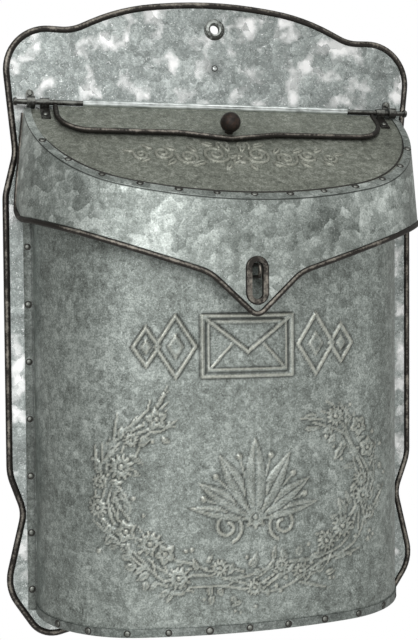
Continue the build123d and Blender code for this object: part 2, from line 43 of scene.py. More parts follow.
# Hinge rod, and the lid's slope: down the slope, out of the lid, and the rod's level along that way.
ROD_Y = -12.0 * MM
ROD_Z = -51.0 * MM
SLOPE = radians(36.1)
LID_DOWN = (0.0, -cos(SLOPE), -sin(SLOPE))
LID_OUT = (0.0, -sin(SLOPE), cos(SLOPE))
LID_LEVEL = LID_OUT[1] * ROD_Y + LID_OUT[2] * ROD_Z
LID_FOLD_LEVEL = 2.95 * MM
LID_PANEL_LEVEL = 3.3
LID_STACK = (2.4 + 1.8 + 6.0) * MM

# Letter box in plan, as half width, front, radius of the bowed front and radius of the corners, in metres.
BODY_PLAN = (0.117, -75.5 * MM, 0.320, 0.066)
BODY_DEPTH = 0.073
BODY_DROP = 0.3145
FLANGE_Y = -2.5 * MM - SHEET
FLANGE_FOLD_X = 0.1174
FLANGE_EDGE_X = 0.1225
FLANGE_DROP = 0.024
FOLD_RUN = 0.0016
MOUTH_DROP = 14 * MM

# Where the front is pressed: half its width round the bow, and its two ends below the rod.
PRESSED_HALF_RUN = 0.098
PRESSED_TOP_DROP = 0.122
PRESSED_BOTTOM_DROP = 0.306

# The other bowed lines, in the same order as the letter box but in millimetres.
PAN_RIVET_PLAN = (117.9, -76.4, 320.9, 66.9)
SEAM_RIVET_PLAN = (122.4, -92.04, 257.8, 72.8)
SEAM_LINE_PLAN = (120.1, -89.75, 255.5, 70.5)

DIMPLE = (0.0, -2.5 * MM, -24.5 * MM)

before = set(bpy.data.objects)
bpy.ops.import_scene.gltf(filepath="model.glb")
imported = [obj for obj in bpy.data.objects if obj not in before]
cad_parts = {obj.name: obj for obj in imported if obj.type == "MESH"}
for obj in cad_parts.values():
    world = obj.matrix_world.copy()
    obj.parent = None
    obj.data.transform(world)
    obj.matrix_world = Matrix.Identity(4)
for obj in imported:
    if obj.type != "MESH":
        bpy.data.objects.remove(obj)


# Settings shown in the panel.
def colour(name, text, hex_code):
    """Colour property from an sRGB hex code."""
    return bpy.props.FloatVectorProperty(
        name=name, description=text, subtype="COLOR", size=4, min=0, max=1, default=linear(hex_code)
    )


def length(name, text, mm):
    """Length property given in millimetres."""
    return bpy.props.FloatProperty(name=name, description=text, default=mm * MM, unit="LENGTH", precision=5)


def linear(hex_code):
    """Linear RGBA from an sRGB hex code."""
    values = [int(hex_code[i : i + 2], 16) / 255 for i in (1, 3, 5)]
    return tuple(v / 12.92 if v <= 0.04045 else ((v + 0.055) / 1.055) ** 2.4 for v in values) + (1.0,)


class MailboxSizes(bpy.types.PropertyGroup):
    """Sizes of what is drawn here rather than in the CAD."""

    relief_step: length("Relief step", "Grid spacing where the front is pressed", 0.9)
    badge_height: length("Badge height", "Height of the pressed envelope and lozenges", 35.0)
    relief_height: length("Relief height", "How far the pressed work stands proud", 1.25)
    rivet_radius: length("Rivet radius", "Radius of the small rivets", 1.7)
    rivet_height: length("Rivet height", "Height of a rivet's dome", 0.6)
    seed: bpy.props.IntProperty(name="Seed", description="Fixes the scatter of leaves", default=7)


class MailboxColours(bpy.types.PropertyGroup):
    """Colours of the finishes."""

    zinc_light: colour("Zinc light", "Brightest crystals of galvanised sheet", "#c2c9c5")
    zinc_mid: colour("Zinc mid", "Usual tone of galvanised sheet", "#8b928e")
    zinc_dark: colour("Zinc dark", "Darkest crystals and stains", "#575b57")
    edge_dark: colour("Edge dark", "Aged rolled edge", "#1f1c19")
    # The rubbed colour of the rolled edges, also used for their painted highlight.
    edge_worn_lit: colour("Edge worn", "Rubbed rolled edge", "#a09a90")
    rust: colour("Rust", "Rusted iron", "#3d2a20")
    bright: colour("Bright zinc", "New zinc plating", "#c9cfcd")


def sizes():
    """The scene's size settings."""
    return bpy.context.scene.mailbox_sizes


def tones():
    """The scene's colour settings."""
    return bpy.context.scene.mailbox_colours


# Materials.
def feed(tree, made, values):
    """Set a node's inputs; a link is given as an output socket, or as a node for its first output."""
    for key, value in values.items():
        if isinstance(value, bpy.types.Node):
            value = value.outputs[0]
        if isinstance(value, bpy.types.NodeSocket):
            tree.links.new(value, made.inputs[key])
        else:
            made.inputs[key].default_value = value


def node(tree, kind, values=None, stops=(), **settings):
    """Add one node, set its options, a ramp's stops as (position, RGBA), and its inputs."""
    made = tree.nodes.new(kind)
    for key, value in settings.items():
        setattr(made, key, value)
    for _ in stops[2:]:
        made.color_ramp.elements.new(0.5)
    for index, (position, rgba) in enumerate(stops):
        made.color_ramp.elements[index].position = position
        made.color_ramp.elements[index].color = rgba
    feed(tree, made, values or {})
    return made


def new_material(name):
    """Empty node material with its shader, returned as (material, tree, shader)."""
    material = bpy.data.materials.new(name)
    material.use_nodes = True
    tree = material.node_tree
    tree.nodes.clear()
    shader = node(tree, "ShaderNodeBsdfPrincipled")
    node(tree, "ShaderNodeOutputMaterial", {"Surface": shader.outputs[0]})
    return material, tree, shader


# Sockets of a colour mix node, by number because two of them share a name.
FACTOR, COLOUR_A, COLOUR_B, MIXED = 0, 6, 7, 2


def per_mm(mm):
    """Texture scale whose pattern repeats about every so many millimetres."""
    return 1.0 / (mm * MM)


def spread(tree, source, amount):
    """A texture's swing about its middle, scaled."""
    return node(
        tree, "ShaderNodeMath",
        {0: node(tree, "ShaderNodeMath", {0: source, 1: 0.5}, operation="SUBTRACT"), 1: amount},
        operation="MULTIPLY",
    )


def scaled(rgba, factor):
    """A colour made darker or lighter."""
    return tuple(min(1, c * factor) for c in rgba[:3]) + (1,)


def galvanised(
    name, dark, mid, light, crystal_mm=9, crystals=0.5, mottle=1.4, glint=0.5, roughness=0.42, streaks=0.0,
    metallic=0.7, fold_shade_line=False, painted_sheen=0.0, dark_ring_centre=None,
):
    """Hot dipped zinc: flat crystals of different tone, pitted, stained and dulled by weather, with painted
    shade and painted glints.
    """
    border_mm = crystal_mm * 0.6
    small_mm = crystal_mm * 0.55
    material, tree, shader = new_material(name)
    place = node(tree, "ShaderNodeTexCoord").outputs["Object"]
    # Large and small crystals with wavering borders; each small one gets painted shade across its face,
    # lighter towards its upper left front side as if lit from there.
    warp = node(tree, "ShaderNodeTexNoise", {"Vector": place, "Scale": per_mm(border_mm), "Detail": 3.0})
    offset = node(
        tree, "ShaderNodeVectorMath", {0: warp.outputs["Color"], 1: (0.5, 0.5, 0.5)}, operation="SUBTRACT"
    )
    shift = node(
        tree, "ShaderNodeVectorMath", {0: offset.outputs[0], "Scale": border_mm * MM}, operation="SCALE"
    )
    warped = node(tree, "ShaderNodeVectorMath", {0: place, 1: shift.outputs[0]}, operation="ADD").outputs[0]
    large = node(
        tree, "ShaderNodeTexVoronoi", {"Vector": warped, "Scale": per_mm(crystal_mm), "Smoothness": 0.25},
        feature="SMOOTH_F1",
    )
    small = node(tree, "ShaderNodeTexVoronoi", {"Vector": warped, "Scale": per_mm(small_mm)})
    within = node(
        tree, "ShaderNodeVectorMath", {0: warped, 1: small.outputs["Position"]}, operation="SUBTRACT"
    )
    painted_facet_shade = node(
        tree, "ShaderNodeVectorMath", {0: within.outputs[0], 1: (-0.5, -0.4, 0.8)}, operation="DOT_PRODUCT"
    ).outputs["Value"]
    painted_facet_shade = node(
        tree, "ShaderNodeMath", {0: painted_facet_shade, 1: crystals * 0.22 / (small_mm * MM)}, operation="MULTIPLY"
    )
    large_tone = node(tree, "ShaderNodeSeparateColor", {0: large.outputs["Color"]}).outputs[0]
    small_tone = node(tree, "ShaderNodeSeparateColor", {0: small.outputs["Color"]}).outputs[1]
    # Broad weathering, cloudy bloom, fine grain, and specks drawn as coarse as they need to show.
    blotch = node(
        tree, "ShaderNodeTexNoise", {"Vector": place, "Scale": per_mm(60), "Detail": 3.0, "Roughness": 0.5}
    )
    cloud = node(
        tree, "ShaderNodeTexNoise",
        {"Vector": place, "Scale": per_mm(3.4), "Detail": 6.0, "Roughness": 0.75},
    )
    grain = node(
        tree, "ShaderNodeTexNoise",
        {"Vector": place, "Scale": per_mm(1.0), "Detail": 3.0, "Roughness": 0.75},
    )
    speck = node(tree, "ShaderNodeTexNoise", {"Vector": warped, "Scale": per_mm(0.9), "Detail": 2.0})
    tone = node(
        tree, "ShaderNodeMath",
        {0: spread(tree, large_tone, crystals * 0.45), 1: spread(tree, small_tone, crystals * 0.5)},
        operation="ADD",
    )
    tone = node(tree, "ShaderNodeMath", {0: tone, 1: painted_facet_shade}, operation="ADD")
    tone = node(tree, "ShaderNodeMath", {0: tone, 1: spread(tree, blotch.outputs[0], 0.5)}, operation="ADD")
    tone = node(
        tree, "ShaderNodeMath", {0: tone, 1: spread(tree, cloud.outputs[0], mottle)}, operation="ADD"
    )
    tone = node(
        tree, "ShaderNodeMath", {0: tone, 1: spread(tree, grain.outputs[0], mottle)}, operation="ADD"
    )
    if streaks:
        squeeze = node(
            tree, "ShaderNodeMapping", {"Vector": place, "Scale": (per_mm(5), per_mm(5), per_mm(45))}
        )
        streak = node(
            tree, "ShaderNodeTexNoise", {"Vector": squeeze.outputs[0], "Scale": 1.0, "Detail": 5.0}
        )
        tone = node(
            tree, "ShaderNodeMath", {0: tone, 1: spread(tree, streak.outputs[0], streaks)}, operation="ADD"
        )
    tone = node(tree, "ShaderNodeMath", {0: tone, 1: 0.5}, operation="ADD", use_clamp=True)
    base = node(tree, "ShaderNodeValToRGB", {"Fac": tone}, stops=[(0.08, dark), (0.5, mid), (0.92, light)])
    # Dark pits and painted glints, small bright specks of painted reflection, at the two ends of the specks.
    pits = node(
        tree, "ShaderNodeMapRange", {0: speck.outputs[0], 1: 0.61, 2: 0.70, 3: 0.0, 4: 0.55}
    ).outputs[0]
    base = node(
        tree, "ShaderNodeMix", {FACTOR: pits, COLOUR_A: base, COLOUR_B: scaled(dark, 0.45)},
        data_type="RGBA",
    ).outputs[MIXED]
    painted_glints = node(
        tree, "ShaderNodeMapRange", {0: speck.outputs[0], 1: 0.37, 2: 0.29, 3: 0.0, 4: glint}
    ).outputs[0]
    base = node(
        tree, "ShaderNodeMix", {FACTOR: painted_glints, COLOUR_A: base, COLOUR_B: scaled(light, 1.5)},
        data_type="RGBA",
    ).outputs[MIXED]
    # Painted shade in the hollows of the pressed work, and rubbed wear with a painted highlight on the
    # crests.
    hollow_shade = node(tree, "ShaderNodeAttribute", attribute_name="hollow_shade").outputs["Fac"]
    ridge = node(tree, "ShaderNodeAttribute", attribute_name="ridge").outputs["Fac"]
    base = node(
        tree, "ShaderNodeMix", {FACTOR: hollow_shade, COLOUR_A: base, COLOUR_B: scaled(dark, 0.32)},
        data_type="RGBA",
    ).outputs[MIXED]
    wear_and_highlight = node(
        tree, "ShaderNodeMath",
        {
            0: ridge,
            1: node(
                tree, "ShaderNodeMath", {0: grain.outputs[0], 1: -0.02}, operation="ADD", use_clamp=True
            ),
        },
        operation="MULTIPLY",
    )
    base = node(
        tree, "ShaderNodeMix", {FACTOR: wear_and_highlight, COLOUR_A: base, COLOUR_B: linear("#cbcabd")},
        data_type="RGBA",
    ).outputs[MIXED]
    if painted_sheen:
        # Painted sheen: pale patches of painted reflection on the zinc.
        patch = node(
            tree, "ShaderNodeTexNoise", {"Vector": warped, "Scale": per_mm(15), "Detail": 2.0}
        ).outputs[0]
        patch = node(
            tree, "ShaderNodeMapRange", {0: patch, 1: 0.52, 2: 0.68, 3: 0.0, 4: painted_sheen}
        ).outputs[0]
        patch = node(
            tree, "ShaderNodeMath",
            {
                0: patch,
                1: node(tree, "ShaderNodeMath", {0: small_tone, 1: 0.35}, operation="ADD", use_clamp=True),
            },
            operation="MULTIPLY",
        )
        base = node(
            tree, "ShaderNodeMix", {FACTOR: patch, COLOUR_A: base, COLOUR_B: linear("#ffffff")},
            data_type="RGBA",
        ).outputs[MIXED]
    if dark_ring_centre:
        # A darker ring round one place.
        away = node(
            tree, "ShaderNodeVectorMath", {0: place, 1: dark_ring_centre}, operation="DISTANCE"
        ).outputs["Value"]
        ring = node(
            tree, "ShaderNodeMapRange", {0: away, 1: 3 * MM, 2: 8.5 * MM, 3: 0.55, 4: 0.0}
        ).outputs[0]
        base = node(
            tree, "ShaderNodeMix", {FACTOR: ring, COLOUR_A: base, COLOUR_B: scaled(dark, 0.5)},
            data_type="RGBA",
        ).outputs[MIXED]
    if fold_shade_line:
        # Painted shade: the dark line along the fold under the lid's edge.
        rise = node(
            tree, "ShaderNodeVectorMath", {0: place, 1: LID_OUT}, operation="DOT_PRODUCT"
        ).outputs["Value"]
        below = node(tree, "ShaderNodeMath", {0: LID_LEVEL - LID_FOLD_LEVEL, 1: rise}, operation="SUBTRACT")
        line = node(
            tree, "ShaderNodeMath",
            {
                0: 1.0,
                1: node(
                    tree, "ShaderNodeMath",
                    {0: node(tree, "ShaderNodeMath", {0: below}, operation="ABSOLUTE"), 1: 0.5 * MM},
                    operation="DIVIDE",
                ),
            },
            operation="SUBTRACT",
        )
        line = node(tree, "ShaderNodeMath", {0: line, 1: 1.6}, operation="MULTIPLY", use_clamp=True)
        base = node(
            tree, "ShaderNodeMix",
            {
                FACTOR: node(tree, "ShaderNodeMath", {0: line, 1: 0.92}, operation="MULTIPLY"),
                COLOUR_A: base, COLOUR_B: scaled(dark, 0.3),
            },
            data_type="RGBA",
        ).outputs[MIXED]
    # Each crystal has a gloss of its own, and the grain is pitted a few tenths of a millimetre deep.
    rough = node(tree, "ShaderNodeMath", {0: spread(tree, small_tone, 0.22), 1: roughness}, operation="ADD")
    rough = node(
        tree, "ShaderNodeMath", {0: rough, 1: spread(tree, large_tone, -0.2 * crystals)}, operation="ADD"
    )
    height = node(
        tree, "ShaderNodeMath",
        {
            0: node(tree, "ShaderNodeMath", {0: grain.outputs[0], 1: 0.6}, operation="MULTIPLY"),
            1: cloud.outputs[0],
        },
        operation="ADD",
    )
    bump = node(tree, "ShaderNodeBump", {"Height": height, "Strength": 0.35, "Distance": 0.35 * MM})
    feed(tree, shader, {"Base Color": base, "Roughness": rough, "Normal": bump, "Metallic": metallic})
    return material


def aged_edge(name, dark, worn_and_lit, wear_and_light=0.5, metallic=0.55, roughness=0.42):
    """Rolled steel edge, browned almost black, rubbed back to grey on its high spots and given a painted
    highlight where it faces front and up.
    """
    material, tree, shader = new_material(name)
    place = node(tree, "ShaderNodeTexCoord").outputs["Object"]
    patch = node(
        tree, "ShaderNodeTexNoise", {"Vector": place, "Scale": per_mm(11), "Detail": 6.0, "Roughness": 0.7}
    )
    grain = node(tree, "ShaderNodeTexNoise", {"Vector": place, "Scale": per_mm(1.3), "Detail": 3.0})
    warm = node(tree, "ShaderNodeTexNoise", {"Vector": place, "Scale": per_mm(25), "Detail": 2.0})
    body = node(
        tree, "ShaderNodeMix", {FACTOR: warm.outputs[0], COLOUR_A: dark, COLOUR_B: linear("#2b2723")},
        data_type="RGBA",
    ).outputs[MIXED]
    wear_and_highlight = node(
        tree, "ShaderNodeMath",
        {
            0: node(tree, "ShaderNodeMath", {0: patch.outputs[0], 1: 0.75}, operation="MULTIPLY"),
            1: node(tree, "ShaderNodeMath", {0: grain.outputs[0], 1: 0.35}, operation="MULTIPLY"),
        },
        operation="ADD",
    )
    # Painted highlight: lighter where the surface faces front, up and a little left.
    normal = node(tree, "ShaderNodeTexCoord").outputs["Normal"]
    painted_crest_highlight = node(
        tree, "ShaderNodeVectorMath", {0: normal, 1: (-0.2, -0.92, 0.33)}, operation="DOT_PRODUCT"
    ).outputs["Value"]
    painted_crest_highlight = node(tree, "ShaderNodeMapRange", {0: painted_crest_highlight, 1: 0.8, 2: 0.99, 3: 0.0, 4: 0.2}).outputs[0]
    wear_and_highlight = node(tree, "ShaderNodeMath", {0: wear_and_highlight, 1: painted_crest_highlight}, operation="ADD")
    facing = node(
        tree, "ShaderNodeMapRange", {0: wear_and_highlight, 1: 0.68 - wear_and_light * 0.12, 2: 0.88 - wear_and_light * 0.1}
    ).outputs[0]
    base = node(
        tree, "ShaderNodeMix",
        {
            FACTOR: node(tree, "ShaderNodeMath", {0: facing, 1: 0.8}, operation="MULTIPLY"), COLOUR_A: body,
            COLOUR_B: worn_and_lit,
        },
        data_type="RGBA",
    ).outputs[MIXED]
    bump = node(tree, "ShaderNodeBump", {"Height": grain.outputs[0], "Strength": 0.4, "Distance": 0.2 * MM})
    rough = node(
        tree, "ShaderNodeMath",
        {
            0: node(tree, "ShaderNodeMath", {0: grain.outputs[0], 1: 0.3}, operation="MULTIPLY"),
            1: roughness - 0.12,
        },
        operation="ADD",
    )
    feed(tree, shader, {"Base Color": base, "Roughness": rough, "Normal": bump, "Metallic": metallic})
    return material


def rusted_iron(name):
    """Dark forged iron with a thin orange brown bloom."""
    material, tree, shader = new_material(name)
    place = node(tree, "ShaderNodeTexCoord").outputs["Object"]
    bloom = node(
        tree, "ShaderNodeTexNoise", {"Vector": place, "Scale": per_mm(4), "Detail": 6.0, "Roughness": 0.7}
    )
    pits = node(tree, "ShaderNodeTexVoronoi", {"Vector": place, "Scale": per_mm(1.4)})
    base = node(
        tree, "ShaderNodeValToRGB", {"Fac": bloom.outputs[0]},
        stops=[
            (0.34, linear("#110f0d")), (0.52, linear("#241b16")), (0.66, tones().rust),
            (0.8, linear("#75594a")),
        ],
    )
    height = node(
        tree, "ShaderNodeMath",
        {
            0: bloom.outputs[0],
            1: node(tree, "ShaderNodeMath", {0: pits.outputs["Distance"], 1: 0.5}, operation="MULTIPLY"),
        },
        operation="ADD",
    )
    bump = node(tree, "ShaderNodeBump", {"Height": height, "Strength": 0.7, "Distance": 0.4 * MM})
    feed(tree, shader, {"Base Color": base, "Normal": bump, "Metallic": 0.35, "Roughness": 0.5})
    return material


def bright_zinc(name):
    """Zinc plated rod or tube, drawn lengthways and lightly scuffed."""
    material, tree, shader = new_material(name)
    place = node(tree, "ShaderNodeTexCoord").outputs["Object"]
    drawn = node(
        tree, "ShaderNodeMapping", {"Vector": place, "Scale": (per_mm(14), per_mm(0.8), per_mm(0.8))}
    )
    lines = node(tree, "ShaderNodeTexNoise", {"Vector": drawn.outputs[0], "Scale": 1.0, "Detail": 5.0})
    scuff = node(tree, "ShaderNodeTexNoise", {"Vector": place, "Scale": per_mm(5), "Detail": 5.0})
    tone = node(
        tree, "ShaderNodeMath",
        {
            0: node(tree, "ShaderNodeMath", {0: lines.outputs[0], 1: 0.6}, operation="MULTIPLY"),
            1: node(tree, "ShaderNodeMath", {0: scuff.outputs[0], 1: 0.4}, operation="MULTIPLY"),
        },
        operation="ADD",
    )
    base = node(
        tree, "ShaderNodeValToRGB", {"Fac": tone},
        stops=[(0.35, linear("#777c7a")), (0.5, tones().bright), (0.7, linear("#eef2f1"))],
    )
    bump = node(
        tree, "ShaderNodeBump", {"Height": lines.outputs[0], "Strength": 0.25, "Distance": 0.1 * MM}
    )
    feed(tree, shader, {"Base Color": base, "Normal": bump, "Metallic": 0.85, "Roughness": 0.34})
    return material


def materials():
    """The maker of every finish, by name."""
    tone = tones()
    return {
        # The back plate keeps the newest zinc: large bright crystals, pale patches of painted sheen, a
        # darker ring round its dimple.
        "Galvanised bright": lambda n: galvanised(
            n, linear("#6e7371"), linear("#969d9b"), linear("#d3dad8"), 12, crystals=0.42, mottle=1.05,
            glint=0.8, roughness=0.34, painted_sheen=0.95, dark_ring_centre=DIMPLE,
        ),
        # The pressed front: small dull crystals, streaked by rain.
        "Galvanised pressed": lambda n: galvanised(
            n, tone.zinc_dark, tone.zinc_mid, tone.zinc_light, 9, crystals=0.3, mottle=1.25, glint=0.4,
            streaks=0.3,
        ),
        # The lid's apron: the largest and clearest crystals.
        "Galvanised apron": lambda n: galvanised(
            n, linear("#646a66"), linear("#959c98"), linear("#d3dad6"), 12, crystals=0.62, mottle=1.0,
            glint=0.35, streaks=0.3, fold_shade_line=True,
        ),
        # The lid's top and the flap: handled until the crystals are nearly gone, warm grey and matt.
        "Galvanised rubbed": lambda n: galvanised(
            n, linear("#585b54"), linear("#85897f"), linear("#b9bcb4"), 6, crystals=0.2, mottle=1.3,
            glint=0.15, roughness=0.5,
        ),
        # Sheet under and behind other parts, given painted shade: the same zinc, darker.
        "Galvanised shaded": lambda n: galvanised(
            n, linear("#4d514e"), linear("#777d7a"), linear("#a9afac"), 8, crystals=0.3, mottle=1.2,
            glint=0.2,
        ),
        # Wired edges: almost black, grey where rubbed, with a painted highlight on the side facing front and
        # up.
        "Aged rolled edge": lambda n: aged_edge(n, tone.edge_dark, tone.edge_worn_lit),
        # Straps, rod and rivets: the same browning, worn further towards plain steel, with the same painted
        # highlight.
        "Dark strap steel": lambda n: aged_edge(
            n, linear("#2b2b29"), linear("#8f918c"), wear_and_light=0.9, metallic=0.7
        ),
        "Dull rivet steel": lambda n: aged_edge(
            n, linear("#4b4d49"), linear("#a2a59f"), wear_and_light=1.2, metallic=0.75
        ),
        # Dirt and old solder: dark and nearly without shine.
        "Seam grime": lambda n: aged_edge(n, linear("#151311"), linear("#3b3834"), wear_and_light=0.3, metallic=0.2),
        # The eyelet: grey zinc with bright rubbed places and the same painted highlight.
        "Eyelet zinc": lambda n: aged_edge(n, linear("#5c605d"), linear("#b3b8b4"), wear_and_light=1.0, metallic=0.8),
        "Bright zinc plate": bright_zinc,
        "Rusted iron": rusted_iron,
    }


def finish_named(name):
    """The finish of that name, made the first time it is asked for."""
    found = bpy.data.materials.get(name)
    return found if found else materials()[name](name)


def paint(obj, name):
    """Give an object one finish."""
    obj.data.materials.clear()
    obj.data.materials.append(finish_named(name))


# Geometry helpers.
def link(name, data):
    """New object with that mesh, light or camera, linked to the scene."""
    obj = bpy.data.objects.new(name, data)
    bpy.context.scene.collection.objects.link(obj)
    return obj


def grid_solid(name, outer, inner):
    """Closed sheet between two grids of points of the same shape, (rows, columns, 3)."""
    rows, columns, _ = outer.shape
    count = rows * columns
    points = np.concatenate([outer.reshape(-1, 3), inner.reshape(-1, 3)])
    index = np.arange(count).reshape(rows, columns)
    a, b, c, d = index[:-1, :-1], index[:-1, 1:], index[1:, 1:], index[1:, :-1]
    front = np.stack([a, b, c, d], axis=-1).reshape(-1, 4)
    back = np.stack([a, d, c, b], axis=-1).reshape(-1, 4) + count
    loop = np.concatenate([index[0, :], index[1:, -1], index[-1, -2::-1], index[-2:0:-1, 0]])
    after = np.roll(loop, -1)
    rim = np.stack([after, loop, loop + count, after + count], axis=-1)
    faces = np.concatenate([front, back, rim])
    mesh = bpy.data.meshes.new(name)
    mesh.from_pydata(points.tolist(), [], faces.tolist())
    mesh.update()
    mesh.polygons.foreach_set("use_smooth", [True] * len(front) + [True] * len(back) + [False] * len(rim))
    return mesh


def float_attribute(mesh, name, values):
    """Store one number at each vertex."""
    made = mesh.attributes.new(name, "FLOAT", "POINT")
    made.data.foreach_set("value", np.ascontiguousarray(values, dtype=np.float32).ravel())


# Pressed relief, worked out in millimetres on a flat sheet.
def line_distance(x, z, p, q):
    """Distance to a straight line from p to q, square at its ends."""
    run = hypot(q[0] - p[0], q[1] - p[1])
    ux, uz = (q[0] - p[0]) / run, (q[1] - p[1]) / run
    along = (x - p[0]) * ux + (z - p[1]) * uz
    across = -(x - p[0]) * uz + (z - p[1]) * ux
    return np.maximum(np.abs(along - run / 2) - run / 2, np.abs(across))


def petal(x, z, root, angle, reach, half):
    """Leaf shape growing from its root: (signed distance, distance from its rib, way along)."""
    ux, uz = cos(angle), sin(angle)
    along = (x - root[0]) * ux + (z - root[1]) * uz
    across = -(x - root[0]) * uz + (z - root[1]) * ux
    share = np.clip(along / reach, 0, 1)
    width = half * np.sin(pi * share**0.8) ** 0.8
    return np.maximum(np.abs(across) - width, np.abs(along - reach / 2) - reach / 2), np.abs(across), share


def dome(distance, depth):
    """Rounded height inside a shape: 0 at its edge, 1 from a depth inwards."""
    return np.sqrt(np.clip(1 - (1 - np.clip(-distance / depth, 0, 1)) ** 2, 0, 1))


def line_ridge(distance, half):
    """Rounded ridge that follows a shape's edge."""
    return np.sqrt(np.clip(1 - (distance / half) ** 2, 0, 1))


def leaf_height(x, z, root, angle, reach, half, vein=0.45):
    """A raised leaf with a sunk rib."""
    distance, across, share = petal(x, z, root, angle, reach, half)
    rib = np.exp(-((across / 0.55) ** 2)) * vein
    return dome(distance, half * 0.55) * (1 - rib * (share < 0.92)), distance


def flower_height(x, z, centre, radius, turn, petals=5):
    """Petals round a bead."""
    height = np.zeros_like(x)
    for k in range(petals):
        angle = turn + k * 2 * pi / petals
        made, _ = leaf_height(x, z, centre, angle, radius, radius * 2.1 / petals, vein=0.3)
        height = np.maximum(height, made)
    middle = np.hypot(x - centre[0], z - centre[1]) - radius * 0.24
    return np.where(middle < 0.5, dome(middle, radius * 0.2) * 1.15, height)


def stem_height(x, z, points, half):
    """A round stem through the given points."""
    distance = np.full_like(x, 99.0)
    for p, q in zip(points, points[1:]):
        run2 = (q[0] - p[0]) ** 2 + (q[1] - p[1]) ** 2
        share = np.clip(((x - p[0]) * (q[0] - p[0]) + (z - p[1]) * (q[1] - p[1])) / run2, 0, 1)
        distance = np.minimum(
            distance, np.hypot(x - p[0] - share * (q[0] - p[0]), z - p[1] - share * (q[1] - p[1]))
        )
    return line_ridge(distance, half)


def box_distance(x, z, middle, half):
    """Signed distance to an upright rectangle."""
    dx, dz = np.abs(x - middle[0]) - half[0], np.abs(z - middle[1]) - half[1]
    return np.hypot(np.maximum(dx, 0), np.maximum(dz, 0)) + np.minimum(np.maximum(dx, dz), 0)


def lozenge_distance(x, z, middle, half):
    """Signed distance to a diamond, near enough at its points."""
    a, b = half
    return (np.abs(x - middle[0]) / a + np.abs(z - middle[1]) / b - 1) * a * b / hypot(a, b)


def badge(x, z, middle_z, tall):
    """A plain envelope between two pairs of lozenges, all in raised outline."""
    half, wide, border = tall / 2, 27, 3.6
    bold, fine = 1.2, 0.8
    height = line_ridge(box_distance(x, z, (0, middle_z), (wide, half)), bold)
    inner = box_distance(x, z, (0, middle_z), (wide - border, half - border))
    height = np.maximum(height, line_ridge(inner, fine) * 0.7)
    side = np.abs(x)
    fold = line_distance(side, z, (wide, middle_z + half), (0, middle_z - 3.5))
    height = np.maximum(height, line_ridge(fold, bold) * (inner < 4))
    lower = line_distance(side, z, (23, middle_z - half + border), (9.5, middle_z + 1.0))
    height = np.maximum(height, line_ridge(lower, fine) * 0.7)
    for middle, reach in ((42.5, (11.5, half)), (59.5, (7.5, half * 0.62))):
        outside = lozenge_distance(side, z, (middle, middle_z), reach)
        height = np.maximum(height, line_ridge(outside, bold))
        core = lozenge_distance(side, z, (middle, middle_z), (reach[0] * 0.45, reach[1] * 0.45))
        height = np.maximum(height, dome(core, 1.6) * 0.8)
    return height


def wreath(x, z, centre, radii, seed):
    """Open topped wreath of stems, blades, leaves, blossoms and buds."""
    rng = np.random.default_rng(seed)
    height = np.zeros_like(x)
    start, end = radians(126), radians(414)

    def spot(t, grow):
        return centre[0] + (radii[0] + grow) * cos(t), centre[1] + (radii[1] + grow) * sin(t)

    # Three wavering stems.
    for shift in (-6.0, -1.5, 4.0):
        points = []
        for k in range(61):
            points.append(spot(start + (end - start) * k / 60, shift + 2.6 * sin(k * 0.7 + shift)))
        height = np.maximum(height, 0.55 * stem_height(x, z, points, 0.8))
    # Long thin blades.
    for _ in range(70):
        t = start + (end - start) * rng.uniform(0, 1)
        onward = t + (pi / 2 if cos(t) > 0 else -pi / 2)
        angle = onward + rng.uniform(-0.7, 0.7)
        made, _ = leaf_height(
            x, z, spot(t, rng.uniform(-7, 9)), angle, rng.uniform(11, 23), rng.uniform(0.6, 1.1), 0
        )
        height = np.maximum(height, made * rng.uniform(0.45, 0.8))
    # Small leaves on both sides.
    for k in range(105):
        t = start + (end - start) * (k + rng.uniform(-0.4, 0.4)) / 104
        grow = rng.uniform(-12, 12)
        angle = t + (0 if grow > 0 else pi) + rng.uniform(-1.2, 1.2)
        made, _ = leaf_height(x, z, spot(t, grow), angle, rng.uniform(5, 10), rng.uniform(1.3, 2.5))
        height = np.maximum(height, made * rng.uniform(0.5, 0.95))
    # Blossoms, each clearing a ring of its own.
    for k in range(21):
        t = start + (end - start) * (k + 0.5 + rng.uniform(-0.3, 0.3)) / 21
        middle = spot(t, rng.uniform(-9, 9))
        reach = rng.uniform(4.5, 8.0)
        petals = 5 if rng.uniform() < 0.45 else 12
        clear = np.hypot(x - middle[0], z - middle[1]) < reach * 1.02
        made = flower_height(x, z, middle, reach, rng.uniform(0, 2), petals)
        height = np.where(clear, np.maximum(made, height * 0.3), height)
    # Buds.
    for _ in range(80):
        middle = spot(start + (end - start) * rng.uniform(0, 1), rng.uniform(-17, 17))
        bud = np.hypot(x - middle[0], z - middle[1]) - rng.uniform(0.8, 1.5)
        height = np.maximum(height, dome(bud, 1.1) * 0.75)
    return height


